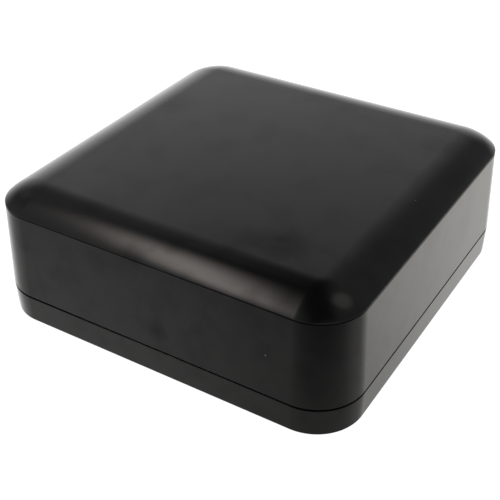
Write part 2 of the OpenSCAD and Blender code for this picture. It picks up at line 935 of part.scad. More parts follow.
// A flat ring on the corner bosses, with a slot and two guide posts for each antenna board
module antenna_carrier()
    color(panel_black)
        difference() {
            union() {
                translate([0, 0, carrier_z])
                    linear_extrude(carrier_t)
                        rounded_rect([2 * carrier_half, 2 * carrier_half], carrier_corner_r);
                for (side = [0:3], s = [-1, 1])
                    rotate(90 * side)
                        slab([antenna_in + antenna_size[1] / 2, s * antenna_size[0] / 2 - antenna_mid],
                             carrier_z, guide_size);
            }
            opening = 2 * (carrier_half - carrier_band);
            translate([0, 0, carrier_z - 1])
                linear_extrude(carrier_t + 2)
                    rounded_rect([opening, opening], carrier_corner_r / 2);
            for (side = [0:3])
                rotate(90 * side) {
                    slab([antenna_in + antenna_size[1] / 2, -antenna_mid],
                         carrier_z + carrier_t - antenna_slot,
                         [antenna_size[1] + 0.1, antenna_size[0] + 0.1, 2 * guide_size[2]]);
                    translate([antenna_in - lead_r, -lead_at, carrier_z - 1])
                        cylinder(r = lead_r + 0.3, h = carrier_t + 2);
                }
            at_corners([post_at, post_at])
                translate([0, 0, carrier_z - 1])
                    cylinder(r = case_screw_r + 0.2, h = carrier_t + 2);
        }

module carrier_screws()
    color(steel)
        at_corners([post_at, post_at])
            screw_down(carrier_z + carrier_t, case_screw_r, carrier_screw_len, head_r, carrier_head_h);

module antenna_boards()
    color(board_green)
        for (side = [0:3])
            rotate(90 * side)
                slab([antenna_in + antenna_size[1] / 2, -antenna_mid], carrier_z + carrier_t - antenna_slot,
                     [antenna_size[1], antenna_size[0], antenna_size[2]]);

// Leads run level from their plugs, bend up and end at the antenna boards
module antenna_leads()
    color(lead_grey) {
        axis_z = plug_z + 0.9;
        upright = antenna_in - lead_r;
        for (side = [0:3])
            rotate(90 * side)
                translate([0, -lead_at, 0]) {
                    translate([plug_in + plug_r, 0, axis_z])
                        rotate([0, 90, 0])
                            cylinder(r = lead_r, h = upright - lead_bend - plug_in - plug_r, $fn = 24);
                    translate([upright - lead_bend, 0, axis_z + lead_bend])
                        rotate([90, 0, 0])
                            rotate([0, 0, -90])
                                rotate_extrude(angle = 90)
                                    translate([lead_bend, 0])
                                        circle(lead_r, $fn = 24);
                    translate([upright, 0, axis_z + lead_bend])
                        cylinder(r = lead_r, h = lead_top - axis_z - lead_bend, $fn = 24);
                }
    }

module antenna_plugs()
    color(gold)
        for (side = [0:3])
            rotate(90 * side)
                translate([plug_in, -lead_at, plug_z])
                    cylinder(r = plug_r, h = plug_h);

module antenna_sockets()
    color(gold)
        for (side = [0:3])
            rotate(90 * side)
                translate([plug_in, -lead_at, 0]) {
                    slab([0, 0], board_z, socket_seat);
                    translate([0, 0, board_z])
                        cylinder(r = 1, h = plug_z - board_z);
                }

top_cover();
side_shell();
port_panel();
base_pan();
rubber_feet();
label_plate();
case_screws();
main_board();
board_screws();
processor();
processor_pad();
memory_chips();
flash_chip();
radio_chips();
radio_pads();
front_end_chips();
processor_shield_frame();
processor_shield_lid();
radio_shield_frames();
radio_shield_lids();
sink_pads();
heat_sink();
sink_push_pins();
sink_springs();
ethernet_chip();
ethernet_transformers();
filter_capacitors();
power_inductors();
crystals();
setup_radio_board();
setup_radio_can();
chip_passives();
wan_jack_shield();
wan_jack_body();
wan_jack_contacts();
lan_jack_shield();
lan_jack_body();
lan_jack_contacts();
power_jack_housing();
power_jack_pin();
power_jack_terminals();
pair_button();
pair_switch_body();
pair_switch_plunger();
reset_switch_body();
reset_switch_plunger();
status_light_pipe();
status_led();
antenna_carrier();
carrier_screws();
antenna_boards();
antenna_leads();
antenna_plugs();
antenna_sockets();
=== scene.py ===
"""Looks of a mesh Wi-Fi node: a satin black desktop unit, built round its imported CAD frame.

Shapes are worked out in millimetres, in the CAD frame: +Z up, front at -Y, ports at +Y.
make_piece turns them into metres.
"""
import math

import bmesh
import bpy
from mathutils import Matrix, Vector


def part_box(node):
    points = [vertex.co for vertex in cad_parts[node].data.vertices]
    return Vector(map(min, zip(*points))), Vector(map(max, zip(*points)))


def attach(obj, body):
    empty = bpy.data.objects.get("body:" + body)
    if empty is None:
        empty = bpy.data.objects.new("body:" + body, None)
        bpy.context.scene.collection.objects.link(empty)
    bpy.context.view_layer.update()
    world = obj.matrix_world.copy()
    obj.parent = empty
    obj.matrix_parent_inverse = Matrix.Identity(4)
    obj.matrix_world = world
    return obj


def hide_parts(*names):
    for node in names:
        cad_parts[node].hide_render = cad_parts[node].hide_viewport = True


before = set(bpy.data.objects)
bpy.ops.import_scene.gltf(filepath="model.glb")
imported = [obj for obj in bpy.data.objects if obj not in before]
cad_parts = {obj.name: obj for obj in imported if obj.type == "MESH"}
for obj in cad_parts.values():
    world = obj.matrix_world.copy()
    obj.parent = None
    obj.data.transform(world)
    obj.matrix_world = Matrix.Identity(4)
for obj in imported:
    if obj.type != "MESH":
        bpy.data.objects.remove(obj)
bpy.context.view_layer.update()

MM = 0.001


def node_box(node):
    """Lowest and highest corners of a CAD node, in millimetres."""
    low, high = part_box(node)
    return low / MM, high / MM


# ---------- Sizes, in millimetres ----------

SHELL_LOW, SHELL_HIGH = node_box("side_shell")
PANEL_LOW, PANEL_HIGH = node_box("port_panel")
BOARD_LOW, BOARD_Z = (corner.z for corner in node_box("main_board"))
CARRIER_Z = node_box("antenna_carrier")[0].z
CASE_HALF = SHELL_HIGH.x
TOP_Z = node_box("top_cover")[1].z
CREASE_Z = SHELL_HIGH.z
SHELL_Z = SHELL_LOW.z
BASE_Z = node_box("base_pan")[0].z

# The case is a rounded square. Its walls lean in by WALL_FLARE from the gap up to the crease.
WALL_FLARE = 1.0
CORNER_R = 16.5
CORNER_AT = CASE_HALF - WALL_FLARE - CORNER_R
SEAM_R = CORNER_R + WALL_FLARE
CORNER_STEPS = 32
WALL_T = 2.2
EDGE_R = 0.14

# The crease under the cover's rim is a fine groove round the top of the side walls.
RIM_H = 0.25
LINE_H = 0.42
LINE_D = 0.6
CREASE_EDGE_R = 0.08
CREASE_PLAY = 0.02

# The border of the top cover is one arc, level where it meets the flat top.
BORDER_W = 15.3
BORDER_DROP = TOP_Z - CREASE_Z - RIM_H
BORDER_R = (BORDER_W ** 2 + BORDER_DROP ** 2) / (2 * BORDER_DROP)
BORDER_X = CORNER_R - BORDER_W
BORDER_Z = TOP_Z - BORDER_R

# The cover plugs into the walls with a spigot and hooks.
SPIGOT_OUT = CORNER_R - WALL_T - 0.15
SPIGOT_T = 1.5
SPIGOT_H = 4.0
HOOK_AT = 30.0
HOOK_W = 9.0
HOOK_OUT = 0.8
HOOK_Z = CREASE_Z - 7.0
RIB_HALF = 0.6
RIB_H = 1.5

# The base meets the walls at an open gap, with a tongue behind it.
GAP_W = 0.7
GAP_EDGE_R = 0.18
BASE_TOP = SHELL_Z - GAP_W
BASE_TAPER = 0.4
BASE_EDGE_R = 0.25
BASE_IN = 0.7
FLOOR_Z = BASE_Z + 2.0
TONGUE_OUT = SEAM_R - WALL_T - 0.3
TONGUE_T = 1.5
TONGUE_H = 3.7

# Each case screw passes a post of the base into a boss of the walls.
POST_AT = 57.5
POST_R = 4.4
POST_TOP = SHELL_Z + 0.15
POST_BORE_R = 1.7
HEAD_BORE_R = 3.1
SCREW_SEAT = 7.0
BOSS_R = 3.5
BOSS_BORE_R = 1.5
STANDOFF_AT = (55.0, 28.0)
STANDOFF_R = 3.2
STANDOFF_BORE_R = 1.15

FOOT_AT = 50.0
FOOT_R = 6.0
LABEL_R = 2.0
LABEL_WELL = (64.6, 36.6)
VENT_SIZE = (2.4, 20.0)
VENT_R = 1.19
VENT_COUNT = 19
VENT_PITCH = 5.0
VENT_ROWS = (-33, 33)

# The ports stand in a plate behind a recess of the rear wall.
WELL_SIZE = (88.0, 16.0)
WELL_R = 3.0
WELL_Z = 22.4
WELL_EDGE_R = 0.5
WELL_CUT = 5.0
PORT_Z = 21.75
PANEL_Y = PANEL_HIGH.y
PANEL_IN = PANEL_LOW.y
PANEL_PLAY = 0.2
RAIL_W = 2.0
RAIL_LIP = 1.6
RAIL_BACK = 1.8

JACK_FRONT = PANEL_Y - 0.3
JACK_SIZE = (16.0, 21.0, 13.5)
JACK_WALL = 0.3
JACK_PLAY = 0.02
JACK_X = {"wan": 14.0, "lan": -5.0}
BAY_HALF = 5.95
BAY_LOW = BOARD_Z + 4.2
BAY_TOP = BAY_LOW + 7.0
BAY_DEPTH = 14.5
BAY_CORNER_R = 0.25
LATCH_HALF = 3.2
LATCH_LOW = BAY_LOW - 2.6
CONTACTS = 8
CONTACT_PITCH = 1.02
CONTACT_R = 0.22
CONTACT_RUN = 7.6
CONTACT_TILT = math.radians(15)

POWER_X = 34.0
POWER_HALF = 4.5
POWER_REAR = 52.6
NOSE_R = 3.95
SOCKET_R = 3.15
SOCKET_DEPTH = 10.0
PAIR_X = -22.0
PAIR_R = 2.7
RESET_X = -31.0
LIGHT_X = -38.5
LIGHT_R = 0.95

# The angles of a quarter turn, for rounding an edge.
QUARTER = [math.radians(15 * i) for i in range(7)]


# ---------- Outlines ----------

def arc(centre, radius, start, end, steps):
    """Points of an arc; the angles are in degrees."""
    turns = [math.radians(start + (end - start) * i / steps) for i in range(steps + 1)]
    return [(centre[0] + radius * math.cos(t), centre[1] + radius * math.sin(t)) for t in turns]


def rounded(corners, steps=4):
    """Points of a closed outline whose corners (x, y, radius) are rounded; a radius of 0 stays sharp."""
    points = []
    for i, (x, y, radius) in enumerate(corners):
        here = Vector((x, y))
        if not radius:
            points.append((x, y))
            continue
        before = (Vector(corners[i - 1][:2]) - here).normalized()
        after = (Vector(corners[(i + 1) % len(corners)][:2]) - here).normalized()
        half = before.angle(after) / 2
        centre = here + (before + after).normalized() * radius / math.sin(half)
        first = here + before * radius / math.tan(half) - centre
        last = here + after * radius / math.tan(half) - centre
        start = math.degrees(math.atan2(first.y, first.x))
        turn = (math.degrees(math.atan2(last.y, last.x)) - start + 180) % 360 - 180
        points += arc(centre, radius, start, start + turn, steps)
    return points


def bay_outline(x, grow=0.0):
    """The mouth of a network jack: a wide bay with a notch for the plug's latch below."""
    wide, notch = BAY_HALF + grow, LATCH_HALF + grow
    bottom, step, top = LATCH_LOW - grow, BAY_LOW - grow, BAY_TOP + grow
    corners = [(x - notch, bottom), (x + notch, bottom), (x + notch, step), (x + wide, step),
               (x + wide, top), (x - wide, top), (x - wide, step), (x - notch, step)]
    return rounded([(*corner, BAY_CORNER_R) for corner in corners], 3)


def rounded_rect(width, height, radius, steps=8):
    """A rounded rectangle round the origin, anticlockwise."""
    points = []
    for quarter, (sx, sy) in enumerate(((1, 1), (-1, 1), (-1, -1), (1, -1))):
        centre = (sx * (width / 2 - radius), sy * (height / 2 - radius))
        points += arc(centre, radius, 90 * quarter, 90 * quarter + 90, steps)
    return points


def case_ring(out, z):
    """A level ring round the case, at a distance out from the corners' centres."""
    points = []
    for quarter, (sx, sy) in enumerate(((1, 1), (-1, 1), (-1, -1), (1, -1))):
        centre = (sx * CORNER_AT, sy * CORNER_AT)
        points += arc(centre, out, 90 * quarter, 90 * quarter + 90, CORNER_STEPS)
    return [(x, y, z) for x, y in points]


# ---------- Meshes ----------

def make_piece(name, form):
    """A Blender object, in metres, from a bmesh in millimetres."""
    bmesh.ops.recalc_face_normals(form, faces=form.faces)
    bmesh.ops.scale(form, vec=(MM, MM, MM), verts=form.verts)
    mesh = bpy.data.meshes.new(name)
    form.to_mesh(mesh)
    form.free()
    piece = bpy.data.objects.new(name, mesh)
    bpy.context.scene.collection.objects.link(piece)
    return piece


def loft(form, rings, closed=False):
    """Skins a row of rings in a bmesh; an open row gets an end cap on each end."""
    rows = [[form.verts.new(point) for point in ring] for ring in rings]
    count = len(rows[0])
    pairs = list(zip(rows, rows[1:]))
    if closed:
        pairs.append((rows[-1], rows[0]))
    else:
        form.faces.new(rows[0])
        form.faces.new(rows[-1])
    for low, high in pairs:
        for i in range(count):
            n = (i + 1) % count
            form.faces.new((low[i], low[n], high[n], high[i]))


def lofted(name, rings, closed=False):
    """A piece of its own from a row of rings."""
    form = bmesh.new()
    loft(form, rings, closed)
    return make_piece(name, form)


def box_rings(x, y, z):
    """Two rings of a box between two values in each direction."""
    outline = ((x[0], y[0]), (x[1], y[0]), (x[1], y[1]), (x[0], y[1]))
    return [[(px, py, height) for px, py in outline] for height in z]


def circle(at, radius, steps=48):
    """The outline of a circle."""
    return arc(at, radius, 0, 360, steps)[:-1]


def disc(at, radius, z, steps=48):
    """A level ring round an upright axis through (x, y)."""
    return [(px, py, z) for px, py in circle(at, radius, steps)]


def upright(outline, y):
    """A ring in a plane that faces +Y, from an outline of (x, z) points."""
    return [(x, y, z) for x, z in outline]


def block_outline(x, z, radius, steps=4):
    """An (x, z) outline of a rounded block between two values in each direction."""
    middle = ((x[0] + x[1]) / 2, (z[0] + z[1]) / 2)
    return [(middle[0] + px, middle[1] + pz)
            for px, pz in rounded_rect(x[1] - x[0], z[1] - z[0], radius, steps)]


def facing_block(x, y, z, radius=0.25, edge=0.15):
    """Rings of a block that faces +Y, with rounded long edges and a softened front edge."""
    rings = [upright(block_outline(x, z, radius), y[0])]
    for t in QUARTER:
        inset, back = edge * (1 - math.cos(t)), edge * (1 - math.sin(t))
        wide, high = (x[0] + inset, x[1] - inset), (z[0] + inset, z[1] - inset)
        rings.append(upright(block_outline(wide, high, max(radius - inset, 0.02)), y[1] - back))
    return rings


def soft_end(radius, end, edge):
    """The last rows of a turned profile: an edge rounded over from a radius to an end."""
    return [(radius - edge * (1 - math.cos(t)), end - edge * (1 - math.sin(t))) for t in QUARTER]


def turned(at, profile, steps=48):
    """Rings round an axis along Y through (x, z); the profile is a row of (radius, y)."""
    return [upright([(at[0] + radius * math.cos(t), at[1] + radius * math.sin(t))
                     for t in (2 * math.pi * i / steps for i in range(steps))], y) for radius, y in profile]


def lathe(at, profile, steps=64):
    """Rings round an upright axis through (x, y); the profile is a row of (radius, z)."""
    return [disc(at, radius, z, steps) for radius, z in profile]


def flare_steps(radius, depth, steps=4):
    """(offset, depth) pairs of a hole whose mouth is rounded, from outside the surface to the hole's end.

    The rounding stops short of a right angle and runs on straight, so it crosses the surface cleanly.
    """
    last = 78
    turns = [math.radians(last * (1 - i / steps)) for i in range(steps + 1)]
    pairs = [(radius * (1 - math.cos(t)), radius * (1 - math.sin(t))) for t in turns]
    slope = math.tan(math.radians(last))
    outside = 0.3 * radius
    return [(pairs[0][0] + slope * (pairs[0][1] + outside), -outside)] + pairs + [(0, depth)]


def facing_hole(outline, y, depth, flare):
    """A hole into a face that looks along +Y, with a rounded mouth; outline is a function of the offset."""
    return [upright(outline(offset), y - down) for offset, down in flare_steps(flare, depth)]


def vertical_hole(outline, depth, flare):
    """A hole up from the underside of the base; outline is a function of the offset."""
    return [[(x, y, BASE_Z + up) for x, y in outline(offset)] for offset, up in flare_steps(flare, depth)]


def round_mouth(at, radius, steps=48):
    """The outline of a round hole, as a function of the offset."""
    return lambda offset: circle(at, radius + offset, steps)


def block_mouth(x, z, radius):
    """The outline of a hole between two values in each direction, as a function of the offset."""
    return lambda offset: block_outline((x[0] - offset, x[1] + offset), (z[0] - offset, z[1] + offset),
                                        radius + offset)


def square_mouth(middle, size, radius, steps=8):
    """The outline of a rounded rectangular hole, as a function of the offset."""
    return lambda offset: [(middle[0] + px, middle[1] + py) for px, py in rounded_rect(
        size[0] + 2 * offset, size[1] + 2 * offset, radius + offset, steps)]


def apply_modifiers(piece):
    """Turns the result of a piece's modifiers into its mesh."""
    bpy.context.view_layer.update()
    graph = bpy.context.evaluated_depsgraph_get()
    mesh = bpy.data.meshes.new_from_object(piece.evaluated_get(graph))
    piece.modifiers.clear()
    old = piece.data
    piece.data = mesh
    bpy.data.meshes.remove(old)


def combine(piece, tool, operation):
    """Cuts a solid from a piece, or joins it on."""
    step = piece.modifiers.new("solid", "BOOLEAN")
    step.object = tool
    step.operation = operation
    step.solver = "EXACT"
    apply_modifiers(piece)
    bpy.data.objects.remove(tool)


def several(rows_of_rings):
    """One tool made of separate solids."""
    form = bmesh.new()
    for rings in rows_of_rings:
        loft(form, rings)
    return make_piece("tool", form)


def cut(piece, *rows_of_rings):
    """Cuts solids from a piece; each is a row of rings."""
    combine(piece, several(rows_of_rings), "DIFFERENCE")


def join(piece, *rows_of_rings):
    """Joins solids to a piece; each is a row of rings."""
    combine(piece, several(rows_of_rings), "UNION")


def quarter_turns(rings):
    """The rings, and their copies on the other three sides of the case."""
    copies = []
    for turn in range(4):
        c, s = round(math.cos(turn * math.pi / 2)), round(math.sin(turn * math.pi / 2))
        copies.append([[(c * x - s * y, s * x + c * y, z) for x, y, z in ring] for ring in rings])
    return copies


def at_corners(x, y):
    """The four places at a distance from the middle in each direction."""
    return [(sx * x, sy * y) for sx in (-1, 1) for sy in (-1, 1)]


def smooth(piece, sharp_angle=35):
    """Smooth shading that keeps flat faces flat and edges crisp."""
    piece.data.shade_smooth()
    piece.data.set_sharp_from_angle(angle=math.radians(sharp_angle))
    weighted = piece.modifiers.new("weighted_normals", "WEIGHTED_NORMAL")
    weighted.keep_sharp = True


def finish_piece(piece, slot, body, *nodes):
    """Shades a piece, gives it its material, and lets it stand for its CAD nodes."""
    smooth(piece)
    piece.data.materials.clear()
    piece.data.materials.append(FINISHES[slot])
    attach(piece, body)
    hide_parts(*nodes)


# ---------- Materials ----------

def typed(sockets, name, kind):
    """The socket with a name and a type; a mix node has one of each name for every type."""
    return next(socket for socket in sockets if socket.name == name and socket.type == kind)


class Nodes:
    """Short names for building one material's node tree."""

    def __init__(self, name):
        self.material = bpy.data.materials.new(name)
        self.material.use_nodes = True
        self.tree = self.material.node_tree
        self.shader = self.tree.nodes["Principled BSDF"]
        self.place = self.add("ShaderNodeTexCoord").outputs["Object"]

    def add(self, kind, **settings):
        """A new node with these properties."""
        made = self.tree.nodes.new(kind)
        for key, value in settings.items():
            setattr(made, key, value)
        return made

    def link(self, source, target):
        self.tree.links.new(source, target)

    def noise(self, scale, detail=2.0, roughness=0.5, stretch=(1, 1, 1)):
        """Noise with features of about 1 / scale metres."""
        mapping = self.add("ShaderNodeMapping")
        mapping.inputs["Scale"].default_value = stretch
        self.link(self.place, mapping.inputs["Vector"])
        made = self.add("ShaderNodeTexNoise")
        made.inputs["Scale"].default_value = scale
        made.inputs["Detail"].default_value = detail
        made.inputs["Roughness"].default_value = roughness
        self.link(mapping.outputs["Vector"], made.inputs["Vector"])
        return made.outputs["Fac"]

    def remap(self, source, low, high, from_low=0.3, from_high=0.7):
        """A noise's usual range, carried to the range low to high."""
        made = self.add("ShaderNodeMapRange")
        made.inputs["From Min"].default_value = from_low
        made.inputs["From Max"].default_value = from_high
        made.inputs["To Min"].default_value = low
        made.inputs["To Max"].default_value = high
        self.link(source, made.inputs["Value"])
        return made.outputs["Result"]

    def math(self, operation, first, second):
        """The result of an operation on two sockets or numbers."""
        made = self.add("ShaderNodeMath", operation=operation)
        for socket, value in zip(made.inputs, (first, second)):
            if isinstance(value, (int, float)):
                socket.default_value = value
            else:
                self.link(value, socket)
        return made.outputs["Value"]

    def blend(self, amount, first, second):
        """A colour between two, by an amount from 0 to 1."""
        made = self.add("ShaderNodeMix", data_type="RGBA")
        typed(made.inputs, "A", "RGBA").default_value = (*first, 1)
        typed(made.inputs, "B", "RGBA").default_value = (*second, 1)
        self.link(amount, made.inputs["Factor"])
        return typed(made.outputs, "Result", "RGBA")

    def shade(self, colour, amount, factor):
        """A colour times a factor where the amount is 1."""
        made = self.add("ShaderNodeVectorMath", operation="SCALE")
        self.link(colour, made.inputs[0])
        scale = self.math("ADD", self.math("MULTIPLY", amount, factor - 1.0), 1.0)
        self.link(scale, made.inputs["Scale"])
        return made.outputs[0]

    def away_from(self, point):
        """The distance in metres from a point given in millimetres."""
        made = self.add("ShaderNodeVectorMath", operation="DISTANCE")
        self.link(self.place, made.inputs[0])
        made.inputs[1].default_value = [value * MM for value in point]
        return made.outputs["Value"]

    def cells(self, scale, **settings):
        """The distance inside Voronoi cells about 1 / scale metres wide."""
        made = self.add("ShaderNodeTexVoronoi", **settings)
        made.inputs["Scale"].default_value = scale
        self.link(self.place, made.inputs["Vector"])
        return made.outputs["Distance"]

    def bump(self, height, distance):
        """Adds relief of a height in metres; each call adds to the last."""
        made = self.add("ShaderNodeBump")
        made.inputs["Strength"].default_value = 1.0
        made.inputs["Distance"].default_value = distance
        self.link(height, made.inputs["Height"])
        normal = self.shader.inputs["Normal"]
        if normal.links:
            self.link(normal.links[0].from_socket, made.inputs["Normal"])
        self.link(made.outputs["Normal"], normal)

    def set(self, **values):
        """Links or sets the shader's sockets, and hands back the finished material."""
        for key, value in values.items():
            socket = self.shader.inputs[key.replace("_", " ")]
            if hasattr(value, "node"):
                self.link(value, socket)
            elif isinstance(value, tuple):
                socket.default_value = (*value, 1)
            else:
                socket.default_value = value
        return self.material


# Marks on the case that dull the gloss: middle and radius in millimetres, then how far each dulls it. Most
# are handling smudges; the two on the front border just above the crease are painted reflection, dark patches
# of the strip light's reflection laid onto the surface.
SMUDGES_AND_PAINTED_REFLECTION = [
    ((26.5, -46.8, 50.6), 7.5, 0.30), ((35.0, -44.2, 50.6), 7.5, 0.30), ((9.0, 49.4, 50.6), 4.0, 0.22),
    ((52.6, 40.5, 50.6), 6.5, 0.22), ((2.3, -69.7, 20.4), 3.4, 0.24), ((56.8, -69.0, 26.2), 3.4, 0.18),
    ((-6.6, -67.2, 46.2), 3.6, 0.22), ((49.5, -66.4, 46.6), 5.0, 0.17), ((69.5, -48.4, 27.3), 4.0, 0.16),
    ((-52.0, 20.0, 50.6), 9.0, 0.16), ((-69.7, 22.0, 30.0), 8.0, 0.18), ((58.0, 69.7, 33.0), 7.0, 0.16),
]
# Two larger grains of dust: their places in millimetres, then the radii in metres between which one fades.
DUST_SPECKS = [(59.7, 1.9, 49.8), (43.8, -69.6, 27.4)]
DUST_SPECK_R = (0.00018, 0.00034)


def case_plastic():
    """Satin black moulded plastic: a fine etched grain, faint mould flow, handling marks with some painted
    reflection among them, and dust.

    The film is what dulls the gloss; the marks add to it, painted reflection included. It goes in as metal,
    because a metal this dark reflects nearly nothing.
    """
    n = Nodes("case_plastic")
    grain = n.noise(9000, detail=3)
    ripple = n.noise(380, detail=1)
    wave = n.noise(75, detail=2)
    flow = n.noise(14, detail=2, stretch=(1, 1, 2.5))
    ragged = n.noise(150, detail=2)
    speck = n.remap(n.noise(700, detail=2), 0, 1, 0.68, 0.76)
    film = n.remap(n.noise(85, detail=4, roughness=0.62), 0, 0.15, 0.47, 0.63)
    rough = n.math("ADD", n.remap(flow, 0.148, 0.168), n.math("MULTIPLY", film, 0.15))
    rough = n.math("ADD", rough, n.math("MULTIPLY", speck, 0.08))
    # Each mark dims the reflection round its middle; for the two above the front crease this dimming is
    # painted reflection.
    for middle, radius, strength in SMUDGES_AND_PAINTED_REFLECTION:
        size = radius * MM
        edge = n.math("ADD", n.away_from(middle), n.math("MULTIPLY", ragged, size))
        film = n.math("ADD", film, n.remap(edge, strength, 0, 0.9 * size, 1.9 * size))
    mote = n.remap(n.cells(70), 1, 0, 0.009, 0.014)
    for middle in DUST_SPECKS:
        mote = n.math("MAXIMUM", mote, n.remap(n.away_from(middle), 1, 0, *DUST_SPECK_R))
    colour = n.blend(n.remap(flow, 0, 1), (0.0035, 0.0035, 0.0035), (0.0045, 0.0044, 0.0043))
    colour = n.shade(colour, mote, 40.0)
    rough = n.math("ADD", rough, n.math("MULTIPLY", mote, 0.4))
    n.bump(wave, 20e-6)
    n.bump(ripple, 4e-7)
    n.bump(grain, 5e-7)
    return n.set(Base_Color=colour, Roughness=rough, Metallic=film, IOR=1.5)


def finish(name, dark, light, roughness, metallic=0.0, grain=3000, relief=4e-6, stretch=(1, 1, 1),
           wear=0.04, stain=0.0, stain_scale=160):
    """A material with a fine grain, a slow drift of colour and gloss, and rubbed or stained patches."""
    n = Nodes(name)
    fine = n.noise(grain, detail=3, stretch=stretch)
    drift = n.noise(90, detail=3)
    patch = n.remap(n.noise(stain_scale, detail=4, roughness=0.65), 0, 1, 0.5, 0.66)
    colour = n.blend(n.remap(drift, 0, 1), dark, light)
    colour = n.shade(colour, patch, 1.0 - stain)
    rough = n.remap(drift, roughness - wear, roughness + wear)
    rough = n.math("ADD", rough, n.math("MULTIPLY", fine, 0.06))
    rough = n.math("ADD", rough, n.math("MULTIPLY", patch, 1.5 * wear))
    n.bump(fine, relief)
    return n.set(Base_Color=colour, Roughness=rough, Metallic=metallic)


def board_laminate():
    """Green lacquered circuit board: a glass weave under the lacquer and copper tracks that stand up."""
    n = Nodes("board_laminate")
    copper = n.remap(n.cells(260, feature="DISTANCE_TO_EDGE"), 1, 0, 0.05, 0.08)
    weft, warp = (n.noise(1500, detail=1, stretch=stretch) for stretch in ((4, 0.5, 1), (0.5, 4, 1)))
    weave = n.math("MULTIPLY", weft, warp)
    colour = n.blend(copper, (0.004, 0.045, 0.018), (0.009, 0.085, 0.034))
    colour = n.shade(colour, n.remap(weave, 0, 1, 0.15, 0.35), 0.85)
    rough = n.remap(n.noise(60, detail=2), 0.26, 0.36)
    n.bump(copper, 15e-6)
    n.bump(weave, 3e-6)
    return n.set(Base_Color=colour, Roughness=rough)


def slot_of(material):
    """The slot a material belongs to: its name, without the number Blender adds to a name in use."""
    return material.name.split(".")[0]


FINISHES = {slot_of(material): material for material in (
    case_plastic(),
    finish("panel_plastic", (0.007, 0.007, 0.007), (0.011, 0.011, 0.0112), 0.46,
           grain=5200, relief=6e-6),
    finish("foot_rubber", (0.011, 0.011, 0.011), (0.02, 0.02, 0.019), 0.72,
           grain=6500, relief=7e-6, stain=-1.2, stain_scale=420),
    finish("label_film", (0.05, 0.05, 0.052), (0.065, 0.065, 0.067), 0.38,
           grain=2200, relief=1e-6),
    finish("zinc_steel", (0.5, 0.51, 0.53), (0.62, 0.62, 0.63), 0.3, 1.0,
           grain=2600, relief=2e-6, stain=0.25),
    finish("spring_steel", (0.42, 0.42, 0.43), (0.55, 0.55, 0.56), 0.26, 1.0,
           grain=1800, relief=2e-6, stretch=(1, 0.06, 1), stain=0.2),
    finish("tin_plate", (0.46, 0.46, 0.45), (0.56, 0.56, 0.55), 0.27, 1.0,
           grain=2400, relief=2e-6, stretch=(0.05, 1, 1), wear=0.05, stain=0.18),
    finish("sink_aluminium", (0.7, 0.71, 0.72), (0.8, 0.8, 0.81), 0.34, 1.0,
           grain=2200, relief=4e-6, stretch=(0.04, 1, 1), stain=0.12),
    finish("can_aluminium", (0.68, 0.68, 0.69), (0.78, 0.78, 0.79), 0.24, 1.0,
           grain=1500, relief=2e-6, stain=0.1),
    board_laminate(),
    finish("chip_resin", (0.012, 0.012, 0.013), (0.02, 0.02, 0.021), 0.58,
           grain=4200, relief=6e-6),
    finish("jack_resin", (0.007, 0.007, 0.007), (0.012, 0.012, 0.012), 0.42,
           grain=2600, relief=3e-6),
    finish("gold_plate", (0.83, 0.6, 0.2), (0.9, 0.68, 0.28), 0.2, 1.0,
           grain=2600, relief=1e-6, stretch=(1, 0.1, 0.1), stain=0.15),
    finish("thermal_pad", (0.16, 0.28, 0.42), (0.2, 0.34, 0.48), 0.68,
           grain=1400, relief=12e-6),
    finish("white_nylon", (0.62, 0.61, 0.57), (0.72, 0.71, 0.67), 0.42,
           grain=3200, relief=3e-6, stain=0.06),
    finish("light_resin", (0.6, 0.64, 0.66), (0.7, 0.73, 0.75), 0.17,
           grain=1600, relief=1e-6),
    finish("lead_jacket", (0.06, 0.06, 0.065), (0.09, 0.09, 0.095), 0.42,
           grain=2400, relief=3e-6),
    finish("ceramic_chip", (0.42, 0.34, 0.26), (0.55, 0.46, 0.37), 0.46,
           grain=5200, relief=3e-6),
)}


# ---------- Case ----------

